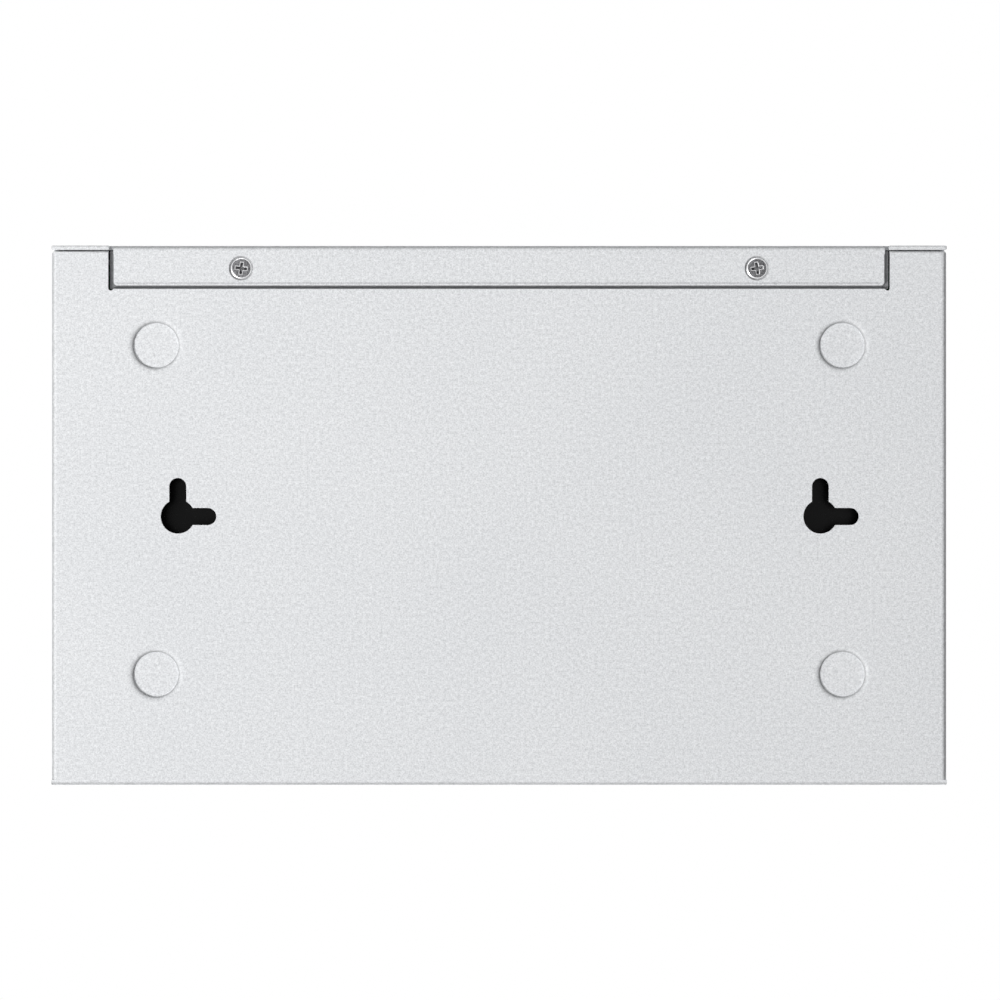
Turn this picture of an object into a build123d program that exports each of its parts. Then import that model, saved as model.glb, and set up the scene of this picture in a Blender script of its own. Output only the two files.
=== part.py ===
"""Ten-port desktop power over ethernet switch in a folded steel case.

Frame: millimetres, +Z up, origin at the centre of the underside.
The ports are in the front wall (-Y) and the power inlet is in the rear wall (+Y).
"""
import math
import os

from build123d import *

# Case, overall
case_width = 209.0
case_depth = 126.0
case_height = 26.0
sheet = 1.0
bend_radius = 1.3
inside_bend_radius = 0.3
tray_side_step = 0.15
cover_gap = 0.15
rear_gap = 0.25
edge_radius = 0.25

# Flap of the cover and the stepped tongue of the tray behind it
flap_width = 180.0
flap_reach = 9.4
flap_corner_radius = 0.8
tongue_overhang = 0.75
relief_slot_width = 1.25
relief_slot_run = 0.37
step_gap = 0.15
step_run = 0.6
step_radius = 0.35
bend_notch_width = 1.1
bend_notch_height = 1.6

# Round seats for stick-on feet, pressed into the tray
seat_floor_radius = 5.25
seat_depth = 0.8
seat_roll_radius = 1.6
seat_roll_steps = 2
seat_spacing_x = 160.2
seat_rear_y = 39.7
seat_front_y = -37.1

# Wall-hanging keyholes
keyhole_spacing = 150.0
keyhole_y = -0.25
keyhole_radius = 4.0
keyhole_arm_width = 4.0
keyhole_arm_reach = 9.0

# Lid and the flange of the front wall over it
front_flange_reach = 6.0
lid_side_flange = 8.0
lid_tongue_reach = 5.0
lid_corner_notch = 0.6

# Vent slots in the side walls
vent_count = 14
vent_pitch = 5.5
vent_width = 2.0
vent_corner = 0.6
vent_centre_y = 8.0
vent_bottom = 7.0

# Cover screws
cover_screw_spacing = 120.4
cover_screw_inset = 5.3
head_radius = 2.55
head_face_radius = 2.1
head_bevel_height = 0.26
head_sink = 0.06
head_cone_height = 0.62
shank_radius = 1.45
shank_length = 4.6
thread_gap = 0.05
dimple_lip = 0.32
recess_span = 2.7
recess_width = 0.62
recess_depth = 0.75

# Insulating film, board and what holds them
film_thickness = 0.3
film_front_gap = 7.0
film_rear_gap = 13.0
board_drop = 18.8
board_thickness = 1.6
board_side_gap = 6.5
board_front_gap = 0.6
board_rear_gap = 3.0
board_corner = 2.0
standoff_radius = 3.0
standoff_bore_depth = 4.5
fixing_sides = 12
board_fixing_inset = 6.0
board_fixing_front_gap = 18.0
board_fixing_rear_gap = 17.0
board_screw_radius = 1.4
board_screw_gap = 0.05
board_screw_length = 5.0
board_screw_head_radius = 2.7
board_screw_head_height = 1.7

# Modular jacks
port_pitch = 13.97
jack_end_wall = 0.8
jack_height = 13.0
jack_depth = 17.5
jack_recess = 0.3
port_width = 11.9
port_height = 7.0
port_floor = 1.6
port_depth = 13.5
latch_width = 6.2
latch_height = 1.6
latch_tip_width = 3.2
latch_tip_height = 1.2
shield_thickness = 0.25
shield_gap = 0.05
shield_window_margin = 0.35
window_gap = 0.3
poe_ports_per_block = 4
uplink_ports = 2

# Shares of the front wall's spare width: left of the lights, then before each jack block
front_row_shares = (0.128, 0.086, 0.107, 0.213)

# Spring contacts in each port
contact_count = 8
contact_pitch = 1.02
contact_width = 0.4
contact_thickness = 0.3
contact_lift = 2.1
contact_front_inset = 1.6
contact_rear_inset = 2.2
contact_seat_gap = 0.05

# Indicator lights
light_columns = 6
light_rows = 2
light_pitch_x = 3.2
light_pitch_z = 4.0
light_rise = 7.7
light_width = 1.8
light_height = 1.2
light_gap = 0.1
light_inset = 0.2
light_reach = 5.0
light_bridge = 1.6
led_length = 1.6
led_depth = 0.8
led_height = 0.6
led_gap = 0.3

# Power inlet and lock slot in the rear wall
inlet_side_inset = 32.5
inlet_width = 9.0
inlet_height = 11.0
inlet_depth = 14.5
inlet_bore_radius = 3.2
inlet_bore_depth = 10.0
inlet_pin_radius = 1.05
inlet_pin_inset = 1.0
inlet_nose_radius = 4.2
inlet_nose_inset = 0.2
inlet_hole_gap = 0.3
inlet_bore_height = 6.2
lock_slot_inset = 22.5
lock_slot_width = 7.0
lock_slot_height = 3.0

# Parts on the board
transformer_width = 12.0
transformer_depth = 15.0
transformer_height = 5.5
transformer_gap = 3.0
chip_size = 20.0
chip_height = 1.4
chip_x = 32.0
pad_inset = 1.0
pad_thickness = 0.5
sink_size = 30.0
sink_base = 2.0
sink_height = 8.5
fin_count = 8
fin_thickness = 1.1
sink_gap = 8.9
controller_size = 9.0
controller_height = 1.0
controller_gap = 5.4
controller_shift = 7.0
transistor_width = 5.2
transistor_depth = 6.2
transistor_height = 1.1
transistor_gap = 2.8
capacitor_radius = 5.0
capacitor_height = 12.5
capacitor_pitch = 11.5
capacitor_count = 2
inductor_size = 12.0
inductor_height = 6.5
inductor_pitch = 15.0
inductor_count = 2
inductor_x = -35.0
power_row_inset = 23.0
capacitor_shift = 25.0
choke_shift = 12.5
choke_size = (10.0, 9.0, 6.0)
fuse_size = (8.0, 3.0, 3.0)
converter_shift = 20.0
converter_size = (5.0, 6.0, 1.5)
memory_size = (5.2, 5.2, 1.8)
memory_shift = (24.0, 6.0)
crystal_size = (5.0, 3.2, 1.2)
crystal_shift = (24.0, -8.0)

# Worked out from the driving sizes
standing = (Align.CENTER, Align.CENTER, Align.MIN)
half_width = case_width / 2
half_depth = case_depth / 2
tray_half = half_width - tray_side_step
tray_rear = half_depth - sheet - rear_gap
front_inside = -half_depth + sheet
rear_inside = half_depth - sheet
flap_half = flap_width / 2
flap_edge = half_depth - flap_reach
step_end = flap_edge - step_gap
step_start = step_end - step_run
step_height = sheet + step_gap
lid_half = tray_half - sheet - cover_gap
lid_front = -half_depth + front_flange_reach + cover_gap + step_run
cover_screw_y = half_depth - cover_screw_inset
bore_radius = shank_radius + thread_gap
vent_height = case_height - lid_side_flange - vent_bottom
vent_centre_z = vent_bottom + vent_height / 2
board_height = case_height - board_drop
board_top = board_height + board_thickness
film_height = board_height - film_thickness
board_half = half_width - board_side_gap
fixing_hole_radius = board_screw_radius + 4 * board_screw_gap
shield_grow = shield_thickness + shield_gap
jack_front = -half_depth + jack_recess + shield_grow
block_ports = (poe_ports_per_block, poe_ports_per_block, uplink_ports)
block_names = ("poe_jack_1", "poe_jack_2", "uplink_jack")
inlet_x = half_width - inlet_side_inset
lock_slot_x = -half_width + lock_slot_inset
light_guide_width = light_columns * light_pitch_x + 2 * (light_bridge - light_gap)
light_centre_z = board_top + light_rise
transformer_y = jack_front + jack_depth + transformer_gap + transformer_depth / 2
transistor_y = transformer_y + transformer_depth / 2 + transistor_gap + transistor_depth / 2
transistor_rear = transistor_y + transistor_depth / 2
controller_y = transistor_rear + controller_gap + controller_size / 2
chip_y = transistor_rear + sink_gap + sink_size / 2
power_row_y = half_depth - power_row_inset


def box_between(low, high):
    """Box from its low corner to its high corner."""
    size = [b - a for a, b in zip(low, high)]
    centre = [(a + b) / 2 for a, b in zip(low, high)]
    return Pos(*centre) * Box(*size)


def rectangle_between(low, high, rounded=(), radius=0.0):
    """Flat rectangle; rounded lists the corners to round, each as (side, end) signs."""
    centre = ((low[0] + high[0]) / 2, (low[1] + high[1]) / 2)
    face = Pos(*centre) * Rectangle(high[0] - low[0], high[1] - low[1])
    corners = [
        v for v in face.vertices()
        if (math.copysign(1, v.X - centre[0]), math.copysign(1, v.Y - centre[1])) in rounded
    ]
    return fillet(corners, radius) if corners else face


def along_x(face, x_low, x_high):
    """Extrude a section drawn as (Y, Z) from x_low to x_high."""
    return extrude(Plane.YZ.offset(x_low) * face, x_high - x_low)


def along_y(face, y_low, y_high):
    """Extrude a section drawn as (X, Z) from y_low to y_high."""
    section = Plane(origin=(0, y_high, 0), x_dir=(1, 0, 0), z_dir=(0, -1, 0))
    return extrude(section * face, y_high - y_low)


def turned(points):
    """Solid of revolution about Z from a closed (radius, height) outline."""
    return revolve(Plane.XZ * make_face(Polyline(*points, close=True)), Axis.Z)


def block_width(ports):
    return ports * port_pitch + 2 * jack_end_wall


def front_row():
    """Centres along X of the lights and of each jack block, from left to right."""
    widths = [light_guide_width, *[block_width(ports) for ports in block_ports]]
    spare = case_width - sum(widths)
    centres = []
    edge = -half_width
    for width, share in zip(widths, front_row_shares):
        edge += share * spare
        centres.append(edge + width / 2)
        edge += width
    return centres


light_centre_x, *block_centres = front_row()


def port_centres(block):
    middle = (block_ports[block] - 1) / 2
    return [block_centres[block] + (i - middle) * port_pitch for i in range(block_ports[block])]


def cover_screw_places():
    return [(side * cover_screw_spacing / 2, cover_screw_y) for side in (-1, 1)]


def board_fixing_places():
    x = board_half - board_fixing_inset
    rows = (-half_depth + board_fixing_front_gap, half_depth - board_fixing_rear_gap)
    return [(side * x, y) for side in (-1, 1) for y in rows]


def light_places():
    """Centres of the indicator windows as (x, z, row)."""
    places = []
    for row in range(light_rows):
        for column in range(light_columns):
            x = light_centre_x + (column - (light_columns - 1) / 2) * light_pitch_x
            z = light_centre_z + (row - (light_rows - 1) / 2) * light_pitch_z
            places.append((x, z, row))
    return places


# Base tray: floor with two side walls and a front wall, folded from one sheet
def tray_floor_and_sides():
    outside = rectangle_between(
        (-tray_half, 0), (tray_half, case_height), ((-1, -1), (1, -1)), bend_radius)
    inside = rectangle_between(
        (-tray_half + sheet, sheet), (tray_half - sheet, case_height + sheet),
        ((-1, -1), (1, -1)), inside_bend_radius)
    return along_y(outside - inside, -half_depth + bend_radius, tray_rear)


def tray_front_wall():
    flange_end = -half_depth + front_flange_reach
    outside = rectangle_between(
        (-half_depth, 0), (flange_end, case_height), ((-1, -1), (-1, 1)), bend_radius)
    inside = rectangle_between(
        (front_inside, sheet), (flange_end + sheet, case_height - sheet),
        ((-1, -1), (-1, 1)), inside_bend_radius)
    wall = along_x(outside - inside, -tray_half, tray_half)
    flange_half = tray_half - bend_radius
    for side in (-1, 1):
        low = min(side * flange_half, side * (tray_half + sheet))
        wall -= box_between(
            (low, -half_depth + bend_radius, -sheet),
            (low + bend_radius + sheet, flange_end + sheet, case_height + sheet))
    return wall


def tongue_section():
    """Side view of the tongue: it steps up from the floor by a sheet and a gap."""
    slope = math.atan2(step_height, step_run)
    shift = sheet * math.tan(slope / 2)
    outline = [
        (step_start - shift, 0), (step_start, 0), (step_end, step_height),
        (tray_rear, step_height), (tray_rear, step_height + sheet),
        (step_end - shift, step_height + sheet), (step_start - shift, sheet),
    ]
    face = make_face(Polyline(*outline, close=True))
    bends = [v for v in face.vertices()
             if abs(v.X - step_start) < 0.01 or abs(v.X - (step_end - shift)) < 0.01]
    return fillet(bends, step_radius)


def tray_tongue():
    tongue = along_x(tongue_section(), -flap_half, flap_half)
    wide = flap_half + tongue_overhang
    wings = rectangle_between(
        (-wide, step_start), (wide, tray_rear), ((-1, -1), (1, -1)), tongue_overhang / 2)
    wings -= rectangle_between((-flap_half, step_start), (flap_half, step_end + sheet))
    tongue += extrude(Plane.XY.offset(step_height) * wings, sheet)
    for x, y in cover_screw_places():
        tongue -= Pos(x, y, 0) * Cylinder(bore_radius, 2 * case_height)
    return tongue


def tongue_opening():
    """What the relief slots and the step take out of the floor."""
    slot_centre = flap_half + relief_slot_width / 2
    opening = box_between(
        (-slot_centre, step_start, -sheet), (slot_centre, tray_rear + sheet, 2 * sheet))
    for side in (-1, 1):
        slot_end = step_start - relief_slot_run
        slot = rectangle_between(
            (side * slot_centre - relief_slot_width / 2, slot_end),
            (side * slot_centre + relief_slot_width / 2, tray_rear + sheet),
            ((-1, -1), (1, -1)), relief_slot_width / 2 - 0.001)
        opening += extrude(Plane.XY.offset(-sheet) * slot, 3 * sheet)
    return opening


def seat_roll_run():
    """Width of the rolled mouth of a foot seat."""
    return math.sqrt(2 * seat_roll_radius * seat_depth - seat_depth ** 2)


def foot_seat_hollow():
    """What a seat takes out of the underside: a flat floor with a mouth rolled in even steps."""
    mouth = seat_floor_radius + seat_roll_run()
    full_turn = math.acos(1 - seat_depth / seat_roll_radius)
    roll = []
    for i in range(1, seat_roll_steps + 1):
        turn = full_turn * i / seat_roll_steps
        roll.append((mouth - seat_roll_radius * math.sin(turn), seat_roll_radius * (1 - math.cos(turn))))
    return turned([(0, -sheet), (mouth, -sheet), (mouth, 0), *roll, (0, seat_depth)])


def foot_seat_boss():
    """What a seat pushes up on the inside of the floor."""
    mouth = seat_floor_radius + seat_roll_run()
    top = sheet + seat_depth
    side = mouth - seat_roll_radius + sheet
    return turned([(0, sheet / 2), (mouth, sheet / 2), (mouth, sheet), (side, top), (0, top)])


def foot_seat_places():
    return [(side * seat_spacing_x / 2, y) for side in (-1, 1)
            for y in (seat_front_y, seat_rear_y)]


def keyhole():
    """A round entry with two arms, so that the switch hangs with its ports down or sideways."""
    outline = Circle(keyhole_radius)
    arm_end = keyhole_arm_reach - keyhole_arm_width / 2
    for direction in (90, 180):
        arm = Pos(arm_end / 2, 0) * SlotCenterToCenter(arm_end, keyhole_arm_width)
        outline += Rot(0, 0, direction) * arm
    return extrude(Plane.XY.offset(-sheet) * outline, 3 * sheet)


def vent_slot():
    slot = Rectangle(vent_width, vent_height)
    slot = chamfer(slot.vertices(), vent_corner)
    return along_x(slot, -half_width - sheet, half_width + sheet)


def tray_windows():
    """Openings in the front wall for the jack blocks and the lights."""
    cuts = []
    for centre, ports in zip(block_centres, block_ports):
        half = block_width(ports) / 2 + shield_grow + window_gap
        cuts.append(box_between(
            (centre - half, -half_depth - sheet, board_top - window_gap),
            (centre + half, front_inside + sheet,
             board_top + jack_height + shield_grow + window_gap)))
    for x, z, _ in light_places():
        cuts.append(Pos(x, front_inside, z) * Box(light_width, 4 * sheet, light_height))
    return cuts


def base_tray():
    tray = tray_floor_and_sides() + tray_front_wall()
    tray -= tongue_opening()
    tray += tray_tongue()
    for x, y in foot_seat_places():
        tray += Pos(x, y, 0) * foot_seat_boss()
        tray -= Pos(x, y, 0) * foot_seat_hollow()
    for side in (-1, 1):
        tray -= Pos(side * keyhole_spacing / 2, keyhole_y, 0) * keyhole()
    for window in tray_windows():
        tray -= window
    for i in range(vent_count):
        y = vent_centre_y + (i - (vent_count - 1) / 2) * vent_pitch
        tray -= Pos(0, y, vent_centre_z) * vent_slot()
    return tray


# Top cover: lid, rear wall and flap, folded from one sheet
def cover_rear_wall():
    wall = box_between((-half_width, rear_inside, 0), (half_width, half_depth, case_height))
    notch_half = flap_half + bend_notch_width
    wall -= box_between(
        (-notch_half, rear_inside - sheet, -sheet),
        (notch_half, half_depth + sheet, bend_notch_height))
    lid_notch_half = lid_half + lid_corner_notch
    wall -= box_between(
        (-lid_notch_half, rear_inside - sheet, case_height - bend_notch_height),
        (lid_notch_half, half_depth + sheet, case_height + sheet))
    return wall


def cover_bends():
    """Section of flap, rear wall and the lid's rear edge, as (Y, Z)."""
    outside = rectangle_between(
        (flap_edge, 0), (half_depth, case_height), ((1, -1), (1, 1)), bend_radius)
    inside = rectangle_between(
        (flap_edge - sheet, sheet), (rear_inside, case_height - sheet),
        ((1, -1), (1, 1)), inside_bend_radius)
    return outside - inside


def cover_flap():
    below = rectangle_between((flap_edge - sheet, -sheet), (half_depth + sheet, case_height / 2))
    flap = along_x(cover_bends() & below, -flap_half, flap_half)
    corners = [e for e in flap.edges().filter_by(Axis.Z)
               if abs(e.center().Y - flap_edge) < 0.01]
    flap = fillet(corners, flap_corner_radius)
    rim = [e for e in flap.edges()
           if abs(e.center().Z) < 0.01 and e.center().Y < half_depth - bend_radius - 0.01]
    return chamfer(rim, edge_radius)


def lid():
    outside = rectangle_between(
        (-lid_half, case_height - lid_side_flange), (lid_half, case_height),
        ((-1, 1), (1, 1)), bend_radius)
    inside = rectangle_between(
        (-lid_half + sheet, case_height - lid_side_flange - sheet),
        (lid_half - sheet, case_height - sheet), ((-1, 1), (1, 1)), inside_bend_radius)
    channel_rear = rear_inside - inside_bend_radius
    channel = along_y(outside - inside, lid_front, channel_rear - lid_corner_notch)
    rear = rectangle_between(
        (channel_rear - lid_corner_notch, case_height / 2), (half_depth + sheet, case_height + sheet))
    return channel + along_x(cover_bends() & rear, -lid_half, lid_half)


def lid_tongue():
    """Front edge of the lid, stepped down so that it tucks under the front wall's flange."""
    slope = math.atan2(step_height, step_run)
    shift = sheet * math.tan(slope / 2)
    top = case_height
    low = top - step_height
    tip = lid_front - step_run - lid_tongue_reach
    outline = [
        (lid_front + shift, top), (lid_front, top), (lid_front - step_run, low), (tip, low),
        (tip, low - sheet), (lid_front - step_run + shift, low - sheet),
        (lid_front + shift, top - sheet),
    ]
    half = lid_half - bend_radius
    return along_x(make_face(Polyline(*outline, close=True)), -half, half)


def screw_dimple():
    """Countersunk seat for a cover screw, open to the underside."""
    lip_radius = head_radius + 2 * thread_gap
    hole_radius = shank_radius + 4 * thread_gap
    return turned([
        (0, -sheet), (lip_radius + dimple_lip, -sheet), (lip_radius + dimple_lip, 0),
        (lip_radius, head_sink + head_bevel_height + thread_gap), (hole_radius, sheet),
        (hole_radius, 2 * sheet), (0, 2 * sheet),
    ])


def inlet_axis_height():
    return board_top + inlet_bore_height


def top_cover():
    cover = cover_rear_wall() + cover_flap() + lid() + lid_tongue()
    for x, y in cover_screw_places():
        cover -= Pos(x, y, 0) * screw_dimple()
    hole = Circle(inlet_nose_radius + inlet_hole_gap)
    cover -= along_y(Pos(inlet_x, inlet_axis_height()) * hole, rear_inside - sheet, half_depth + sheet)
    lock = Rectangle(lock_slot_width, lock_slot_height)
    lock = Pos(lock_slot_x, case_height / 2) * fillet(lock.vertices(), 2 * edge_radius)
    cover -= along_y(lock, rear_inside - sheet, half_depth + sheet)
    return cover


# Fasteners
def cross_recess():
    arm = Box(recess_span, recess_width, 2 * recess_depth)
    return arm + Rot(0, 0, 90) * arm


def cover_screw():
    face = head_sink
    rim = face + head_bevel_height
    seat_end = rim + head_cone_height
    screw = turned([
        (0, face), (head_face_radius, face), (head_radius, rim), (shank_radius, seat_end),
        (shank_radius, face + shank_length), (0, face + shank_length),
    ])
    return screw - Pos(0, 0, face) * cross_recess()


def cover_screws():
    return [Pos(x, y, 0) * cover_screw() for x, y in cover_screw_places()]


def fixing_outline(radius):
    """Screws, bores and holes of the board's fixings, drawn with few sides."""
    return RegularPolygon(radius, fixing_sides)


def board_standoff():
    """Hexagonal pillar that carries the film and the board."""
    body = extrude(Plane.XY.offset(sheet) * RegularPolygon(standoff_radius, 6), film_height - sheet)
    bore = Plane.XY.offset(film_height) * fixing_outline(board_screw_radius + board_screw_gap)
    return body - extrude(bore, -standoff_bore_depth)


def board_screw():
    head = extrude(fixing_outline(board_screw_head_radius), board_screw_head_height)
    return head + extrude(fixing_outline(board_screw_radius), -board_screw_length)


# Film and board
def plate_with_holes(front, rear, bottom, thickness):
    outline = rectangle_between((-board_half, front), (board_half, rear))
    outline = chamfer(outline.vertices(), board_corner)
    for x, y in board_fixing_places():
        outline -= Pos(x, y) * fixing_outline(fixing_hole_radius)
    return extrude(Plane.XY.offset(bottom) * outline, thickness)


def insulating_film():
    """Film that lies on the standoffs, under the board."""
    return plate_with_holes(
        -half_depth + film_front_gap, half_depth - film_rear_gap, film_height, film_thickness)


def main_board():
    return plate_with_holes(
        front_inside + board_front_gap, rear_inside - board_rear_gap, board_height, board_thickness)


# Modular jacks
def port_outline(grow=0.0):
    """Outline of one port as (X, Z) from the middle of its floor, with a stepped latch notch."""
    steps = (
        (port_width / 2 + grow, port_height + grow),
        (latch_width / 2 + grow, port_height + latch_height + grow),
        (latch_tip_width / 2 + grow, port_height + latch_height + latch_tip_height + grow),
    )
    right = [(steps[0][0], -grow)]
    for i, (half, top) in enumerate(steps):
        right.append((half, top))
        if i + 1 < len(steps):
            right.append((steps[i + 1][0], top))
    left = [(-x, z) for x, z in reversed(right)]
    return make_face(Polyline(*right, *left, close=True))


def jack_housing(block):
    centre = block_centres[block]
    half = block_width(block_ports[block]) / 2
    housing = box_between(
        (centre - half, jack_front, board_top),
        (centre + half, jack_front + jack_depth, board_top + jack_height))
    tails_half = (contact_count - 1) * contact_pitch / 2 + contact_width / 2 + contact_seat_gap
    rear = jack_front + port_depth
    for x in port_centres(block):
        place = Pos(x, board_top + port_floor)
        housing -= along_y(place * port_outline(), jack_front - sheet, rear)
        housing -= box_between(
            (x - tails_half, rear - contact_thickness - 2 * contact_seat_gap, board_top - sheet),
            (x + tails_half, rear, board_top + port_floor + sheet))
    return housing


def jack_shield(block):
    centre = block_centres[block]
    half = block_width(block_ports[block]) / 2
    inside_low = (centre - half - shield_gap, jack_front - shield_gap, board_top - sheet)
    inside_high = (centre + half + shield_gap, jack_front + jack_depth + shield_gap,
                   board_top + jack_height + shield_gap)
    outside_low = (centre - half - shield_grow, jack_front - shield_grow, board_top)
    outside_high = (centre + half + shield_grow, jack_front + jack_depth + shield_grow,
                    board_top + jack_height + shield_grow)
    shield = box_between(outside_low, outside_high)
    upright = [e for e in shield.edges().filter_by(Axis.Z)]
    shield = fillet(upright, shield_grow) - box_between(inside_low, inside_high)
    for x in port_centres(block):
        window = Pos(x, board_top + port_floor) * port_outline(shield_window_margin)
        shield -= along_y(window, jack_front - sheet, jack_front + sheet)
    return shield


def port_contact():
    """One spring wire, drawn from the rear of the port floor: along, back over itself and down."""
    rear = port_depth - contact_seat_gap
    front = contact_front_inset
    tip = port_depth - contact_rear_inset
    thick = contact_thickness
    floor = port_floor + contact_seat_gap
    outline = [
        (rear, 0), (rear, floor + thick), (front + 6 * thick, floor + thick),
        (tip, floor + contact_lift - thick), (tip, floor + contact_lift),
        (front, floor), (rear - thick, floor), (rear - thick, 0),
    ]
    return along_x(make_face(Polyline(*outline, close=True)), -contact_width / 2, contact_width / 2)


def jack_contacts(block):
    wire = port_contact()
    wires = []
    for x in port_centres(block):
        for i in range(contact_count):
            offset = (i - (contact_count - 1) / 2) * contact_pitch
            wires.append(Pos(x + offset, jack_front, board_top) * wire)
    return wires


# Indicator lights
def light_pipe(x, z, row):
    """Clear pipe from a window in the front wall back and down to its light on the board."""
    front = -half_depth + light_inset
    back = front + light_reach + row * (light_reach + light_bridge)
    half = light_height / 2 - light_gap
    foot = board_top + led_height + led_gap
    outline = [
        (front, z - half), (front, z + half), (back - half, z + half), (back + half, z - half),
        (back + half, foot), (back - half, foot), (back - half, z - half),
    ]
    width = light_width / 2 - light_gap
    return along_x(make_face(Polyline(*outline, close=True)), x - width, x + width)


def light_guide():
    """All the pipes with the bar that joins them and its two feet on the board."""
    bar_half = light_guide_width / 2
    low_z = light_centre_z - (light_rows - 1) / 2 * light_pitch_z
    bar_y = -half_depth + light_inset + light_reach
    bar_low = low_z - light_bridge
    guide = box_between(
        (light_centre_x - bar_half, bar_y - light_bridge, bar_low),
        (light_centre_x + bar_half, bar_y, light_centre_z + light_pitch_z / 2))
    for side in (-1, 1):
        x = light_centre_x + side * (bar_half - light_bridge / 2)
        guide += box_between(
            (x - light_bridge / 2, bar_y - light_bridge, board_top), (x + light_bridge / 2, bar_y, bar_low))
    for x, z, row in light_places():
        guide += light_pipe(x, z, row)
    return guide


def indicator_leds():
    leds = []
    for x, _, row in light_places():
        back = -half_depth + light_inset + light_reach + row * (light_reach + light_bridge)
        leds.append(Pos(x, back, board_top + led_height / 2) * Box(led_length, led_depth, led_height))
    return leds


# Power inlet
def inlet_housing():
    front = rear_inside - cover_gap
    body = box_between(
        (inlet_x - inlet_width / 2, front - inlet_depth, board_top),
        (inlet_x + inlet_width / 2, front, board_top + inlet_height))
    upright = [e for e in body.edges().filter_by(Axis.Y)
               if e.center().Z > board_top + inlet_height / 2]
    body = fillet(upright, inlet_width / 4)
    place = Pos(inlet_x, inlet_axis_height())
    nose_end = half_depth - inlet_nose_inset
    body += along_y(place * Circle(inlet_nose_radius), front - sheet, nose_end)
    return body - along_y(place * Circle(inlet_bore_radius), nose_end - inlet_bore_depth, nose_end + sheet)


def inlet_pin():
    nose_end = half_depth - inlet_nose_inset
    root = nose_end - inlet_bore_depth
    tip = nose_end - inlet_pin_inset
    pin = Cylinder(inlet_pin_radius, tip - root, align=standing)
    pin = chamfer(pin.edges().sort_by(Axis.Z)[-1], inlet_pin_radius / 3)
    return Pos(inlet_x, root, inlet_axis_height()) * Rot(-90, 0, 0) * pin


def inlet_spring():
    """Curved sleeve contact on the floor of the bore."""
    nose_end = half_depth - inlet_nose_inset
    root = nose_end - inlet_bore_depth
    low = -inlet_bore_radius + contact_seat_gap
    outline = [
        (root, low), (root + inlet_bore_depth * 0.8, low),
        (root + inlet_bore_depth * 0.8, low + contact_thickness),
        (root + inlet_bore_depth * 0.6, low + contact_thickness),
        (root + inlet_bore_depth * 0.4, low + 3 * contact_thickness),
        (root + inlet_bore_depth * 0.3, low + 3 * contact_thickness),
        (root + inlet_bore_depth * 0.2, low + contact_thickness),
        (root, low + contact_thickness),
    ]
    half = inlet_pin_radius / 2
    strip = along_x(make_face(Polyline(*outline, close=True)), inlet_x - half, inlet_x + half)
    strip = Pos(0, 0, inlet_axis_height()) * strip
    bore = along_y(
        Pos(inlet_x, inlet_axis_height()) * Circle(inlet_bore_radius - contact_seat_gap), root, nose_end)
    return strip & bore


# Parts on the board
def board_block(x, y, size, base=board_top):
    """Plain part of the given (width, depth, height) standing on the board."""
    return Pos(x, y, base) * Box(*size, align=standing)


def switch_heat_sink():
    base = board_top + chip_height + pad_thickness
    left = chip_x - sink_size / 2
    front = chip_y - sink_size / 2
    sink = box_between((left, front, base), (left + sink_size, front + sink_size, base + sink_base))
    pitch = (sink_size - fin_thickness) / (fin_count - 1)
    for i in range(fin_count):
        x = left + i * pitch
        sink += box_between((x, front, base), (x + fin_thickness, front + sink_size, base + sink_height))
    return sink


def bulk_capacitor(x):
    return Pos(x, power_row_y, board_top) * Cylinder(capacitor_radius, capacitor_height, align=standing)


def port_parts():
    """A transformer behind every port and a transistor behind every powered one."""
    transformer = (transformer_width, transformer_depth, transformer_height)
    transistor = (transistor_width, transistor_depth, transistor_height)
    parts = {}
    number = 0
    for block in range(len(block_centres)):
        for x in port_centres(block):
            number += 1
            parts[f"line_transformer_{number:02d}"] = board_block(x, transformer_y, transformer)
            if block < 2:
                parts[f"port_transistor_{number}"] = board_block(x, transistor_y, transistor)
    return parts


def power_parts():
    parts = {}
    for i in range(capacitor_count):
        x = inlet_x - capacitor_shift - i * capacitor_pitch
        parts[f"bulk_capacitor_{i + 1}"] = bulk_capacitor(x)
    for i in range(inductor_count):
        x = inductor_x - i * inductor_pitch
        parts[f"power_inductor_{i + 1}"] = board_block(
            x, power_row_y, (inductor_size, inductor_size, inductor_height))
    converter_x = inductor_x - (inductor_count - 1) * inductor_pitch - converter_shift
    parts["converter_chip"] = board_block(converter_x, power_row_y, converter_size)
    parts["input_choke"] = board_block(inlet_x - choke_shift, power_row_y, choke_size)
    parts["input_fuse"] = board_block(inlet_x, power_row_y, fuse_size)
    return parts


def control_parts():
    parts = {}
    pad_size = chip_size - 2 * pad_inset
    parts["switch_chip"] = board_block(chip_x, chip_y, (chip_size, chip_size, chip_height))
    parts["thermal_pad"] = board_block(
        chip_x, chip_y, (pad_size, pad_size, pad_thickness), board_top + chip_height)
    parts["switch_heat_sink"] = switch_heat_sink()
    parts["flash_memory"] = board_block(chip_x + memory_shift[0], chip_y + memory_shift[1], memory_size)
    parts["crystal"] = board_block(chip_x + crystal_shift[0], chip_y + crystal_shift[1], crystal_size)
    for block in range(2):
        parts[f"poe_controller_{block + 1}"] = board_block(
            block_centres[block] - controller_shift, controller_y,
            (controller_size, controller_size, controller_height))
    return parts


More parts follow.
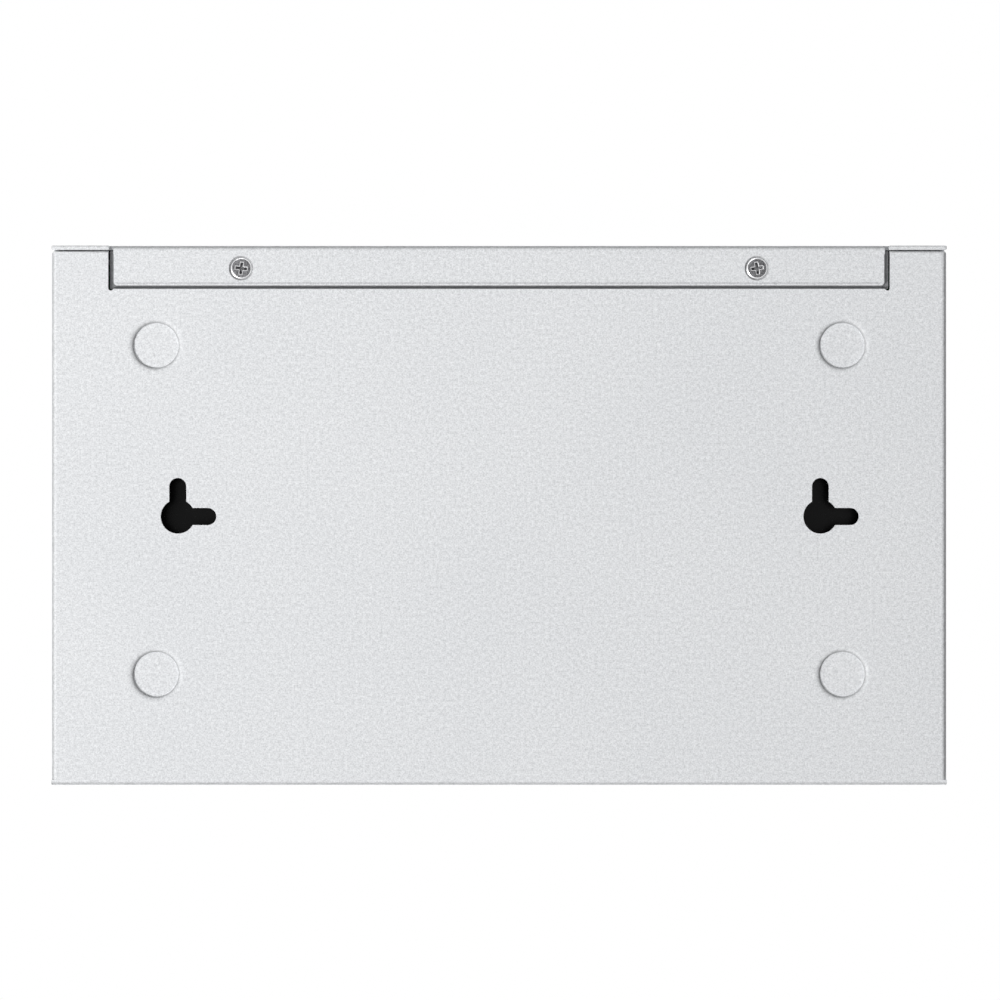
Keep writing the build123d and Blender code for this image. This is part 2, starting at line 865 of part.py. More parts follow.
def all_parts():
    parts = {
        "base_tray": base_tray(),
        "top_cover": top_cover(),
        "cover_screws": cover_screws(),
        "insulating_film": insulating_film(),
        "main_board": main_board(),
        "board_standoffs": [Pos(x, y, 0) * board_standoff() for x, y in board_fixing_places()],
        "board_screws": [Pos(x, y, board_top) * board_screw() for x, y in board_fixing_places()],
        "light_guide": light_guide(),
        "indicator_leds": indicator_leds(),
        "dc_inlet_housing": inlet_housing(),
        "dc_inlet_pin": inlet_pin(),
        "dc_inlet_spring": inlet_spring(),
    }
    for block, name in enumerate(block_names):
        parts[f"{name}_housing"] = jack_housing(block)
        parts[f"{name}_shield"] = jack_shield(block)
        parts[f"{name}_contacts"] = jack_contacts(block)
    parts.update(port_parts())
    parts.update(power_parts())
    parts.update(control_parts())
    return parts


os.makedirs("parts", exist_ok=True)
for node, shape in all_parts().items():
    if isinstance(shape, list):
        shape = Compound(children=shape)
    export_step(shape, f"parts/{node}.step")
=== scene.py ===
import math

import bmesh
import bpy
from mathutils import Matrix, Vector


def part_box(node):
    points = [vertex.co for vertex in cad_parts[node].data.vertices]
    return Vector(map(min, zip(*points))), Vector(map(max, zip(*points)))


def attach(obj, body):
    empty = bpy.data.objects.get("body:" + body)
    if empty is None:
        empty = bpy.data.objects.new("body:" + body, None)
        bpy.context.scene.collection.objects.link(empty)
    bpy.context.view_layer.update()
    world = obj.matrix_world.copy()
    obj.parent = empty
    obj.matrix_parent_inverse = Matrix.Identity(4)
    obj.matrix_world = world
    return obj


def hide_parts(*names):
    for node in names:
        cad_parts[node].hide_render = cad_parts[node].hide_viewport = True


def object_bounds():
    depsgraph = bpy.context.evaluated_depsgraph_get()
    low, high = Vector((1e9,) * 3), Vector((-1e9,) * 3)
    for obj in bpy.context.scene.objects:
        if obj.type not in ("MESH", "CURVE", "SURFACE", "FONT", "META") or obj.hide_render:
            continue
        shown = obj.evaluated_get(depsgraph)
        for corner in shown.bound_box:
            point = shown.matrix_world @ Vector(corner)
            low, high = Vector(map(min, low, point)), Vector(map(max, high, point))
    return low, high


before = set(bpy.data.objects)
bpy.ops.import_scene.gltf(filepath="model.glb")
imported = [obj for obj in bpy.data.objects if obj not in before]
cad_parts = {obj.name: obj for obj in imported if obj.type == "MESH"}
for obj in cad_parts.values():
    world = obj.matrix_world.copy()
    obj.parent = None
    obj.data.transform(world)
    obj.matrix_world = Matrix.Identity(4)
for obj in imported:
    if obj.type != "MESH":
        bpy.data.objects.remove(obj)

# Switch lying on its feet side: ports in the front wall (-Y), power inlet in the rear wall (+Y).
# Shapes are drawn in millimetres and brought to metres when a piece is finished.
mm = 0.001
scene = bpy.context.scene
cadLow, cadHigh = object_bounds()
print("frame loaded:", len(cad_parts), "nodes")


# camera and light
cameraLook = {
    "lens": 100.0,
    "sensor": 36.0,
    "nearest": 0.01,
    "pictureWidth": 233.34 * mm,     # what the picture spans at the underside
    "aim": (-0.2 * mm, 3.6 * mm),
}
camera = bpy.data.objects.new("camera", bpy.data.cameras.new("camera"))
camera.data.lens = cameraLook["lens"]
camera.data.sensor_width = cameraLook["sensor"]
camera.data.clip_start = cameraLook["nearest"]
distance = cameraLook["pictureWidth"] * cameraLook["lens"] / cameraLook["sensor"]
camera.location = (*cameraLook["aim"], -distance)
camera.rotation_euler = (0, math.pi, 0)          # straight up at the underside, rear wall at the top
scene.collection.objects.link(camera)
scene.camera = camera
scene.view_settings.view_transform = "Standard"

studio = {
    "ambient": (0.05, 0.28),         # level with the floor, and straight above or below
    "lamps": [
        # name, place, side, power, and the target if it isn't the origin
        ("keyBelow", (1.38, -0.78, -1.5), 0.6, 55.0, (0.6, 2.0, 0.0)),
        ("fillBelow", (0.25, 0.75, -0.85), 0.5, 3.4, (0.0, 0.1, 0.0)),
        ("keyAbove", (0.55, -0.55, 0.8), 0.5, 7.0),
        ("fillAbove", (-0.7, 0.5, 0.6), 0.6, 3.4),
        ("fillFront", (-0.35, -0.9, 0.2), 0.5, 3.2),
        ("fillRear", (0.5, 0.85, 0.25), 0.5, 3.0),
        ("fillSide", (0.95, -0.1, 0.15), 0.5, 2.0),
    ],
    "floor": 0.86,
    "floorHalf": 3.0,
    "floorFade": (0.26, 0.85),       # the floor is drawn out to here and gone to white there
    "floorDrop": 0.05 * mm,
    "windowMargin": 0.1 * mm,
}


def addLamp(name, place, side, power, target=(0.0, 0.0, 0.0)):
    lamp = bpy.data.lights.new(name, "AREA")
    lamp.shape = "RECTANGLE"
    lamp.size = lamp.size_y = side
    lamp.energy = power
    holder = bpy.data.objects.new(name, lamp)
    holder.location = place
    holder.rotation_euler = (Vector(target) - Vector(place)).to_track_quat("-Z", "Y").to_euler()
    scene.collection.objects.link(holder)


def emptyTree(owner):
    owner.use_nodes = True
    tree = owner.node_tree
    tree.nodes.clear()
    return tree, tree.nodes, tree.links


def feed(tree, socket, value):
    # a socket takes a plain value or another node's output
    if isinstance(value, bpy.types.NodeSocket):
        tree.links.new(value, socket)
    else:
        socket.default_value = value


def mathNode(tree, operation, first, second=0.0):
    node = tree.nodes.new("ShaderNodeMath")
    node.operation = operation
    feed(tree, node.inputs[0], first)
    feed(tree, node.inputs[1], second)
    return node.outputs[0]


def rangeNode(tree, value, toLow, toHigh, fromLow=0.0, fromHigh=1.0):
    node = tree.nodes.new("ShaderNodeMapRange")
    for label, given in (("Value", value), ("From Min", fromLow), ("From Max", fromHigh),
                         ("To Min", toLow), ("To Max", toHigh)):
        feed(tree, node.inputs[label], given)
    return node


def ownSpace(tree):
    return tree.nodes.new("ShaderNodeTexCoord").outputs["Object"]


def makeWorld():
    # white where the camera, a mirror or glass sees it, and an even soft light elsewhere
    world = scene.world or bpy.data.worlds.new("studio")
    scene.world = world
    tree, nodes, links = emptyTree(world)
    path = nodes.new("ShaderNodeLightPath")
    seen = mathNode(tree, "MAXIMUM", path.outputs["Is Camera Ray"], path.outputs["Is Glossy Ray"])
    seen = mathNode(tree, "MAXIMUM", seen, path.outputs["Is Transmission Ray"])
    direction = nodes.new("ShaderNodeTexCoord")
    split = nodes.new("ShaderNodeSeparateXYZ")
    links.new(direction.outputs["Generated"], split.inputs[0])
    ambient = rangeNode(tree, mathNode(tree, "ABSOLUTE", split.outputs["Z"]), *studio["ambient"])
    strength = rangeNode(tree, seen, ambient.outputs["Result"], 1.0)
    background = nodes.new("ShaderNodeBackground")
    background.inputs["Color"].default_value = (1.0, 1.0, 1.0, 1.0)
    links.new(strength.outputs["Result"], background.inputs["Strength"])
    output = nodes.new("ShaderNodeOutputWorld")
    links.new(background.outputs[0], output.inputs["Surface"])


def makeFloor():
    # Pale floor that keeps the shadow from above, and is clear from below so that the underside shows.
    # Light from below comes up through a window as large as the object, so it stays off the walls.
    size, z = studio["floorHalf"], -studio["floorDrop"]
    mesh = bpy.data.meshes.new("floor")
    corners = [(-size, -size, z), (size, -size, z), (size, size, z), (-size, size, z)]
    mesh.from_pydata(corners, [], [(0, 1, 2, 3)])
    floor = bpy.data.objects.new("floor", mesh)
    scene.collection.objects.link(floor)
    material = bpy.data.materials.new("paleFloor")
    tree, nodes, links = emptyTree(material)
    path = nodes.new("ShaderNodeLightPath")
    side = nodes.new("ShaderNodeNewGeometry")
    place = ownSpace(tree)
    fromAbove = mathNode(tree, "SUBTRACT", 1.0, side.outputs["Backfacing"])
    shown = mathNode(tree, "MULTIPLY", fromAbove, path.outputs["Is Camera Ray"])
    reach = nodes.new("ShaderNodeVectorMath")
    reach.operation = "LENGTH"
    links.new(place, reach.inputs[0])
    fade = rangeNode(tree, reach.outputs["Value"], 1.0, 0.0, *studio["floorFade"])
    fade.interpolation_type = "SMOOTHSTEP"
    near = mathNode(tree, "MULTIPLY", shown, fade.outputs["Result"])
    split = nodes.new("ShaderNodeSeparateXYZ")
    links.new(place, split.inputs[0])
    margin = studio["windowMargin"]
    beyond = [mathNode(tree, "GREATER_THAN", mathNode(tree, "ABSOLUTE", split.outputs[axis]), edge + margin)
              for axis, edge in (("X", cadHigh[0]), ("Y", cadHigh[1]))]
    lightRay = mathNode(tree, "MAXIMUM", path.outputs["Is Shadow Ray"], path.outputs["Is Diffuse Ray"])
    blocked = mathNode(tree, "MULTIPLY", mathNode(tree, "MAXIMUM", *beyond), lightRay)
    clear = nodes.new("ShaderNodeBsdfTransparent")
    pale = nodes.new("ShaderNodeBsdfDiffuse")
    pale.inputs["Color"].default_value = (*[studio["floor"]] * 3, 1.0)
    mix = nodes.new("ShaderNodeMixShader")
    output = nodes.new("ShaderNodeOutputMaterial")
    links.new(mathNode(tree, "MAXIMUM", near, blocked), mix.inputs[0])
    links.new(clear.outputs[0], mix.inputs[1])
    links.new(pale.outputs[0], mix.inputs[2])
    links.new(mix.outputs[0], output.inputs["Surface"])
    mesh.materials.append(material)


makeWorld()
makeFloor()
for lampFacts in studio["lamps"]:
    addLamp(*lampFacts)
print("camera, floor and lamps ready")


# finishes
def groupOf(name, inputs, outputs):
    # empty shader group with its own named sockets
    group = bpy.data.node_groups.new(name, "ShaderNodeTree")
    for label, value in inputs.items():
        kind = "NodeSocketVector" if isinstance(value, tuple) else "NodeSocketFloat"
        group.interface.new_socket(label, in_out="INPUT", socket_type=kind).default_value = value
    for label in outputs:
        group.interface.new_socket(label, in_out="OUTPUT", socket_type="NodeSocketFloat")
    return group, group.nodes.new("NodeGroupInput"), group.nodes.new("NodeGroupOutput")


textureLook = {
    "coarseScale": 0.42,             # coarse grain's scale as a part of the fine grain's
    "detail": {"fine": 1.0, "coarse": 0.0, "mottle": 3.0, "lines": 2.0},
    # the part of the noise that reaches from dark to pale
    "grainRange": (0.28, 0.72),
    "slowRange": (0.3, 0.7),
}


def noiseNode(group, scale, kind, place=None):
    noise = group.nodes.new("ShaderNodeTexNoise")
    noise.inputs["Detail"].default_value = textureLook["detail"][kind]
    group.links.new(place or ownSpace(group), noise.inputs["Vector"])
    group.links.new(scale, noise.inputs["Scale"])
    return noise.outputs[0]


def maskFrom(group, value, span, result):
    spread = rangeNode(group, value, 0.0, 1.0, *textureLook[span])
    group.links.new(spread.outputs[0], result.inputs["Mask"])


def makeGrainGroup():
    # two sizes of fine grain, as in powder coat or a spark-eroded mould
    group, entry, result = groupOf("fineGrain", {"Scale": 3000.0, "Coarse part": 0.4}, ("Mask", "Height"))
    place, scale = ownSpace(group), entry.outputs["Scale"]
    coarseScale = mathNode(group, "MULTIPLY", scale, textureLook["coarseScale"])
    blend = group.nodes.new("ShaderNodeMix")
    for label, value in (("Factor", entry.outputs["Coarse part"]),
                         ("A", noiseNode(group, scale, "fine", place)),
                         ("B", noiseNode(group, coarseScale, "coarse", place))):
        group.links.new(value, blend.inputs[label])
    maskFrom(group, blend.outputs[0], "grainRange", result)
    group.links.new(blend.outputs[0], result.inputs["Height"])
    return group


def makeMottleGroup():
    # slow change of tone over a face
    group, entry, result = groupOf("slowMottle", {"Scale": 25.0}, ("Mask",))
    slow = noiseNode(group, entry.outputs["Scale"], "mottle")
    maskFrom(group, slow, "slowRange", result)
    return group


def makeRollingGroup():
    # drawn lines left by rolling or drawing metal; Stretch is small along the lines
    inputs = {"Scale": 2500.0, "Stretch": (0.04, 1.0, 1.0)}
    group, entry, result = groupOf("rollingLines", inputs, ("Mask", "Height"))
    stretch = group.nodes.new("ShaderNodeVectorMath")
    stretch.operation = "MULTIPLY"
    group.links.new(ownSpace(group), stretch.inputs[0])
    group.links.new(entry.outputs["Stretch"], stretch.inputs[1])
    lines = noiseNode(group, entry.outputs["Scale"], "lines", stretch.outputs[0])
    maskFrom(group, lines, "slowRange", result)
    group.links.new(lines, result.inputs["Height"])
    return group


def makePaintedBendShade():
    # mask for painted shade: strongest halfway round a bend or on a slope, nought on level faces and upright
    # walls
    group, entry, result = groupOf("paintedBendShade", {"Strength": 4.0}, ("Mask",))
    shape = group.nodes.new("ShaderNodeNewGeometry")
    split = group.nodes.new("ShaderNodeSeparateXYZ")
    group.links.new(shape.outputs["Normal"], split.inputs[0])
    level = mathNode(group, "MULTIPLY", split.outputs["Z"], split.outputs["Z"])
    band = mathNode(group, "MULTIPLY", level, mathNode(group, "SUBTRACT", 1.0, level))
    mask = mathNode(group, "MULTIPLY", band, entry.outputs["Strength"])
    group.links.new(mask, result.inputs["Mask"])
    return group


fineGrain = makeGrainGroup()
paintedBendShade = makePaintedBendShade()
slowMottle = makeMottleGroup()
rollingLines = makeRollingGroup()


def newMaterial(name):
    material = bpy.data.materials.new(name)
    material.use_nodes = True
    tree = material.node_tree
    return material, tree, next(n for n in tree.nodes if n.type == "BSDF_PRINCIPLED")


def placeGroup(tree, group, **values):
    node = tree.nodes.new("ShaderNodeGroup")
    node.node_tree = group
    for label, value in values.items():
        node.inputs[label.replace("_", " ")].default_value = value
    return node


def mixColours(tree, blend, mask, first, second):
    node = tree.nodes.new("ShaderNodeMix")
    node.data_type = "RGBA"
    node.blend_type = blend
    colours = [socket for socket in node.inputs if socket.type == "RGBA"]
    tree.links.new(mask, node.inputs[0])
    feed(tree, colours[0], first)
    feed(tree, colours[1], second)
    return next(socket for socket in node.outputs if socket.type == "RGBA")


def colourBetween(tree, mask, dark, pale, target):
    tree.links.new(mixColours(tree, "MIX", mask, (*dark, 1.0), (*pale, 1.0)), target)


def valueBetween(tree, mask, low, high, target):
    tree.links.new(rangeNode(tree, mask, low, high).outputs["Result"], target)


def bumpFrom(tree, height, distance, strength, shader):
    bump = tree.nodes.new("ShaderNodeBump")
    bump.inputs["Distance"].default_value = distance
    bump.inputs["Strength"].default_value = strength
    tree.links.new(height, bump.inputs["Height"])
    tree.links.new(bump.outputs["Normal"], shader.inputs["Normal"])


paintLook = {
    "drift": (0.965, 0.968, 0.972),  # slow change of tone over the sheet
    "driftScale": 18.0,
    "bendPaintedShade": 0.44,               # painted shade: how much darker the paint is drawn halfway round a bend
    "bendPower": 2.0,                # keeps the painted shade off gentle slopes, so they stay as pale as the flat sheet
}


def paintDriftAndBendShade(tree, tone):
    # drifts over the sheet, and paints shade onto bends and slopes
    look = paintLook
    mottle = placeGroup(tree, slowMottle, Scale=look["driftScale"])
    tone = mixColours(tree, "MULTIPLY", mottle.outputs["Mask"], tone, (*look["drift"], 1.0))
    # painted shade: bends and slopes are drawn darker, as if light fell off them
    steep = mathNode(tree, "POWER", placeGroup(tree, paintedBendShade).outputs["Mask"], look["bendPower"])
    shade = mathNode(tree, "MULTIPLY", steep, look["bendPaintedShade"])
    return mixColours(tree, "MULTIPLY", shade, tone, (0.0, 0.0, 0.0, 1.0))


grainedLook = {
    "coarsePart": 0.3,
    "bumpStrength": 0.5,
    "gloss": 0.5,
}


def makeGrained(name, dark, pale, rough, scale, bump, toned=None, **own):
    # paint or moulded plastic
    look = {**grainedLook, **own}
    material, tree, shader = newMaterial(name)
    grain = placeGroup(tree, fineGrain, Scale=scale, Coarse_part=look["coarsePart"])
    tone = mixColours(tree, "MIX", grain.outputs["Mask"], (*dark, 1.0), (*pale, 1.0))
    tree.links.new(toned(tree, tone) if toned else tone, shader.inputs["Base Color"])
    valueBetween(tree, grain.outputs["Mask"], *rough, shader.inputs["Roughness"])
    bumpFrom(tree, grain.outputs["Height"], bump, look["bumpStrength"], shader)
    shader.inputs["Specular IOR Level"].default_value = look["gloss"]
    return material


metalLook = {
    "driftScale": 120.0,
    "bumpHeight": 0.01 * mm,
    "bumpStrength": 0.4,
    "evenly": (1.0, 1.0, 1.0),       # stretch of metal without drawn lines
}


def makeMetal(name, dark, pale, rough, scale, stretch=metalLook["evenly"]):
    look = metalLook
    material, tree, shader = newMaterial(name)
    lines = placeGroup(tree, rollingLines, Scale=scale, Stretch=stretch)
    mottle = placeGroup(tree, slowMottle, Scale=look["driftScale"])
    colourBetween(tree, lines.outputs["Mask"], dark, pale, shader.inputs["Base Color"])
    valueBetween(tree, mottle.outputs["Mask"], *rough, shader.inputs["Roughness"])
    bumpFrom(tree, lines.outputs["Height"], look["bumpHeight"], look["bumpStrength"], shader)
    shader.inputs["Metallic"].default_value = 1.0
    return material


clearLook = {
    "driftScale": 400.0,
    "paler": 1.06,
    "rougher": 0.08,
    "transmission": 0.85,
    "index": 1.49,
}


def makeClear(name, tint, rough):
    # clear moulded plastic, slightly uneven
    look = clearLook
    material, tree, shader = newMaterial(name)
    mottle = placeGroup(tree, slowMottle, Scale=look["driftScale"])
    paler = tuple(min(1.0, c * look["paler"]) for c in tint)
    colourBetween(tree, mottle.outputs["Mask"], tint, paler, shader.inputs["Base Color"])
    valueBetween(tree, mottle.outputs["Mask"], rough, rough + look["rougher"], shader.inputs["Roughness"])
    shader.inputs["Transmission Weight"].default_value = look["transmission"]
    shader.inputs["IOR"].default_value = look["index"]
    return material


boardLook = {
    "mask": (0.006, 0.06, 0.026),
    "track": (0.014, 0.115, 0.046),
    "pattern": {"Scale": 900.0, "Mortar Size": 0.12, "Mortar Smooth": 0.3, "Brick Width": 9.0,
                "Row Height": 0.6},
    "grain": 1500.0,
    "roughness": (0.22, 0.34),
    "bumpHeight": 0.03 * mm,
    "bumpStrength": 0.5,
}


def makeBoard():
    # green solder mask with the tracks showing through as paler lines
    look = boardLook
    material, tree, shader = newMaterial("greenBoard")
    tracks = tree.nodes.new("ShaderNodeTexBrick")
    for label, value in look["pattern"].items():
        tracks.inputs[label].default_value = value
    tree.links.new(ownSpace(tree), tracks.inputs["Vector"])
    colourBetween(tree, tracks.outputs["Fac"], look["mask"], look["track"], shader.inputs["Base Color"])
    grain = placeGroup(tree, fineGrain, Scale=look["grain"])
    valueBetween(tree, grain.outputs["Mask"], *look["roughness"], shader.inputs["Roughness"])
    bumpFrom(tree, tracks.outputs["Fac"], look["bumpHeight"], look["bumpStrength"], shader)
    return material


finishes = {
    # name, dark and pale tone, roughness, scale and height of the grain;
    # the second paint is painted shade: a darker paint on the tongue under the flap, where the gap lies in
    # shade
    "paint": makeGrained("palePowderCoat", (0.575, 0.585, 0.598), (0.885, 0.896, 0.912), (0.52, 0.68),
                         2900.0, 0.04 * mm, paintDriftAndBendShade, coarsePart=0.28, bumpStrength=0.45, gloss=0.25),
    "paintedGapShade": makeGrained("paintedGapShade", (0.16, 0.163, 0.168), (0.26, 0.264, 0.27), (0.55, 0.75),
                            3600.0, 0.03 * mm, coarsePart=0.4, bumpStrength=0.4, gloss=0.2),
    "film": makeGrained("blackFilm", (0.0012, 0.0012, 0.0013), (0.004, 0.004, 0.0043), (0.22, 0.3),
                        2400.0, 0.01 * mm, gloss=0.11),
    "moulding": makeGrained("blackMoulding", (0.01, 0.01, 0.011), (0.022, 0.022, 0.024), (0.38, 0.52),
                            3200.0, 0.02 * mm),
    "chip": makeGrained("chipBody", (0.012, 0.012, 0.013), (0.024, 0.024, 0.025), (0.48, 0.6),
                        3800.0, 0.015 * mm),
    "pad": makeGrained("greyPad", (0.22, 0.23, 0.25), (0.3, 0.31, 0.33), (0.7, 0.82), 1600.0, 0.03 * mm),
    # name, dark and pale tone, roughness, scale and stretch of the lines
    # the two zincs are lit and shaded copies of one metal: a painted dark reflection on the face, a painted
    # highlight on the rim and lip
    "screw": makeMetal("zincPaintedDarkFace", (0.04, 0.04, 0.042), (0.25, 0.25, 0.26), (0.34, 0.46), 4200.0),
    "screwHighlight": makeMetal("zincPaintedHighlight", (0.66, 0.66, 0.67), (0.86, 0.86, 0.87), (0.3, 0.44), 2400.0),
    "shield": makeMetal("tinnedShield", (0.62, 0.61, 0.59), (0.78, 0.77, 0.74), (0.22, 0.36),
                        2200.0, (0.05, 1.0, 1.0)),
    "gold": makeMetal("goldFlash", (0.85, 0.58, 0.24), (0.98, 0.72, 0.34), (0.16, 0.26),
                      3000.0, (1.0, 0.06, 1.0)),
    "tin": makeMetal("tinPlate", (0.66, 0.65, 0.62), (0.8, 0.79, 0.76), (0.25, 0.38),
                     2600.0, (1.0, 1.0, 0.08)),
    "aluminium": makeMetal("finnedAluminium", (0.6, 0.61, 0.62), (0.74, 0.75, 0.76), (0.3, 0.42),
                           1800.0, (1.0, 0.05, 1.0)),
    "board": makeBoard(),
    "clear": makeClear("clearPipe", (0.86, 0.88, 0.88), 0.12),
    "led": makeClear("lightResin", (0.9, 0.86, 0.62), 0.3),
}
print("finishes made:", len(finishes))


# shapes
past = 1.0                           # how far a cutter reaches past what it cuts
close = 0.01                         # a point this close to a plane lies on it
stepAngle, coarseStep = 9.0, 12.0    # of arcs, in degrees
jacks = ("poe_jack_1", "poe_jack_2", "uplink_jack")
edgeFacts = {
    "weld": 0.002,                   # points closer than this become one before edges are rounded,
    "weldAfter": 0.001,              # and closer than this afterwards
    "flat": 0.2,                     # faces that turn less than this become one
    "crease": 36.0,                  # edges sharper than this stay sharp
}


def boxOf(node):
    low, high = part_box(node)
    return Vector(low) / mm, Vector(high) / mm


def roundOff(corners, angleStep=stepAngle):
    # outline from (u, v, radius) corners; a radius above nought becomes an arc
    points = []
    for i, (u, v, radius) in enumerate(corners):
        here = Vector((u, v))
        if not radius:
            points.append(here)
            continue
        back = (Vector(corners[i - 1][:2]) - here).normalized()
        ahead = (Vector(corners[(i + 1) % len(corners)][:2]) - here).normalized()
        half = back.angle(ahead) / 2
        centre = here + (back + ahead).normalized() * radius / math.sin(half)
        start = here + back * radius / math.tan(half) - centre
        end = here + ahead * radius / math.tan(half) - centre
        first = math.atan2(start.y, start.x)
        turn = (math.atan2(end.y, end.x) - first + math.pi) % (2 * math.pi) - math.pi
        steps = max(3, round(math.degrees(abs(turn)) / angleStep))
        for step in range(steps + 1):
            angle = first + turn * step / steps
            points.append(centre + Vector((math.cos(angle), math.sin(angle))) * radius)
    return points


def rectangle(uLow, uHigh, vLow, vHigh, radius=0.0):
    corners = [(uLow, vLow), (uHigh, vLow), (uHigh, vHigh), (uLow, vHigh)]
    return roundOff([(u, v, radius) for u, v in corners])


def quarterTurn(radius):
    turns = [math.radians(stepAngle * i) for i in range(round(90 / stepAngle) + 1)]
    return [(radius * math.cos(a), radius * math.sin(a)) for a in turns]


def circle(u, v, radius, segments=72):
    turns = [2 * math.pi * i / segments for i in range(segments)]
    return [Vector((u + radius * math.cos(a), v + radius * math.sin(a))) for a in turns]


def skinned(bm, rings):
    # closes a stack of rings into a solid
    bm.faces.new(rings[0])
    bm.faces.new(rings[-1])
    for low, high in zip(rings, rings[1:]):
        for i in range(len(low)):
            bm.faces.new((low[i - 1], low[i], high[i], high[i - 1]))
    bmesh.ops.recalc_face_normals(bm, faces=bm.faces)
    return bm


def prism(outline, along, low, high):
    # outline is (y, z) across x, (x, z) across y or (x, y) across z
    order = {"x": (2, 0, 1), "y": (0, 2, 1), "z": (0, 1, 2)}[along]
    bm = bmesh.new()
    rings = []
    for level in (low, high):
        values = [(p[0], p[1], level) for p in outline]
        rings.append([bm.verts.new([v[k] for k in order]) for v in values])
    return skinned(bm, rings)


def block(low, high):
    return prism(rectangle(low[0], high[0], low[1], high[1]), "z", low[2], high[2])


def lathe(profile, segments=96):
    # profile of (radius, z) from axis to axis
    bm = bmesh.new()
    rows = []
    for radius, z in profile:
        points = circle(0, 0, radius, segments) if radius else [(0, 0)]
        rows.append([bm.verts.new((*point, z)) for point in points])
    for low, high in zip(rows, rows[1:]):
        for i in range(segments):
            j = (i + 1) % segments
            ring = [low[i % len(low)], low[j % len(low)], high[j % len(high)], high[i % len(high)]]
            ring = list(dict.fromkeys(ring))
            if len(ring) > 2:
                bm.faces.new(ring)
    bmesh.ops.recalc_face_normals(bm, faces=bm.faces)
    return bm


def moved(bm, x, y):
    bmesh.ops.translate(bm, verts=bm.verts, vec=(x, y, 0))
    return bm


def workObject(name, *shapes):
    # one object from shapes that stand apart from each other
    mesh = bpy.data.meshes.new(name)
    whole = bmesh.new()
    for shape in shapes:
        shape.to_mesh(mesh)
        whole.from_mesh(mesh)
        shape.free()
    whole.to_mesh(mesh)
    whole.free()
    item = bpy.data.objects.new(name, mesh)
    scene.collection.objects.link(item)
    return item


def freshMesh(item):
    # mesh with every modifier worked in
    return bpy.data.meshes.new_from_object(item.evaluated_get(bpy.context.evaluated_depsgraph_get()))


def settled(item):
    mesh = freshMesh(item)
    item.modifiers.clear()
    item.data = mesh


def shaped(base, *steps):
    # adds to the base or takes away from it, one step after the other
    for how, tool in steps:
        modifier = base.modifiers.new(how, "BOOLEAN")
        modifier.operation = {"add": "UNION", "cut": "DIFFERENCE"}[how]
        modifier.solver = "EXACT"
        modifier.object = tool
    settled(base)
    for _, tool in steps:
        bpy.data.objects.remove(tool)
    return base


def softened(item, width, segments=2, sharpest=30.0, where=None):
    # rounds the outward edges a little, as paint or a tumbled edge does
    bm = bmesh.new()
    bm.from_mesh(item.data)
    bmesh.ops.remove_doubles(bm, verts=bm.verts, dist=edgeFacts["weld"])
    bmesh.ops.dissolve_limit(bm, angle_limit=math.radians(edgeFacts["flat"]), verts=bm.verts,
                             edges=bm.edges, delimit={"NORMAL"})
    edges = [e for e in bm.edges if e.is_manifold and e.is_convex
             and e.calc_face_angle(0.0) > math.radians(sharpest)
             and (where is None or all(where(v.co) for v in e.verts))]
    bmesh.ops.bevel(bm, geom=edges, offset=width, offset_type="OFFSET", segments=segments, profile=0.5,
                    affect="EDGES", clamp_overlap=True)
    bmesh.ops.remove_doubles(bm, verts=bm.verts, dist=edgeFacts["weldAfter"])
    bm.to_mesh(item.data)
    bm.free()
    return item


def finishPiece(item, name, finish, nodes, weighted=True):
    # to metres, with smooth faces, true creases and its finish
    item.name = name
    mesh = item.data
    mesh.name = name
    mesh.transform(Matrix.Scale(mm, 4))
    bm = bmesh.new()
    bm.from_mesh(mesh)
    for face in bm.faces:
        face.smooth = True
    for edge in bm.edges:
        edge.smooth = edge.is_manifold and edge.calc_face_angle(0.0) < math.radians(edgeFacts["crease"])
    bm.to_mesh(mesh)
    bm.free()
    mesh.materials.clear()
    mesh.materials.append(finishes[finish])
    if weighted:
        even = item.modifiers.new("evenNormals", "WEIGHTED_NORMAL")
        even.keep_sharp = True
        even.mode = "FACE_AREA"
    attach(item, "root")
    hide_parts(*nodes)
    print(name, "ready:", len(mesh.polygons), "faces")


def giveSecond(item, finish, chosen):
    # second finish on the chosen faces
    item.data.materials.append(finishes[finish])
    item.data.polygons.foreach_set("material_index", [int(c) for c in chosen])


def makeRepeatTree():
    # columns and rows of one part, made real and given one finish
    tree = bpy.data.node_groups.new("repeatedPart", "GeometryNodeTree")
    tree.interface.new_socket("Geometry", in_out="OUTPUT", socket_type="NodeSocketGeometry")
    for label, kind in (("Part", "Object"), ("Columns", "Int"), ("Column step", "Vector"), ("Rows", "Int"),
                        ("Row step", "Vector"), ("Start", "Vector"), ("Finish", "Material")):
        tree.interface.new_socket(label, in_out="INPUT", socket_type="NodeSocket" + kind)
    nodes, links = tree.nodes, tree.links
    entry, result = nodes.new("NodeGroupInput"), nodes.new("NodeGroupOutput")
    part = nodes.new("GeometryNodeObjectInfo")
    part.inputs["As Instance"].default_value = True
    links.new(entry.outputs["Part"], part.inputs["Object"])
    shape = part.outputs["Geometry"]
    for count, step in (("Columns", "Column step"), ("Rows", "Row step")):
        line = nodes.new("GeometryNodeMeshLine")
        line.mode = "OFFSET"
        spots = nodes.new("GeometryNodeInstanceOnPoints")
        links.new(entry.outputs[count], line.inputs["Count"])
        links.new(entry.outputs[step], line.inputs["Offset"])
        if count == "Rows":
            links.new(entry.outputs["Start"], line.inputs["Start Location"])
        links.new(line.outputs["Mesh"], spots.inputs["Points"])
        links.new(shape, spots.inputs["Instance"])
        shape = spots.outputs["Instances"]
    real = nodes.new("GeometryNodeRealizeInstances")
    finish = nodes.new("GeometryNodeSetMaterial")
    links.new(shape, real.inputs["Geometry"])
    links.new(real.outputs["Geometry"], finish.inputs["Geometry"])
    links.new(entry.outputs["Finish"], finish.inputs["Material"])
    links.new(finish.outputs["Geometry"], result.inputs["Geometry"])
    return tree


repeatTree = makeRepeatTree()


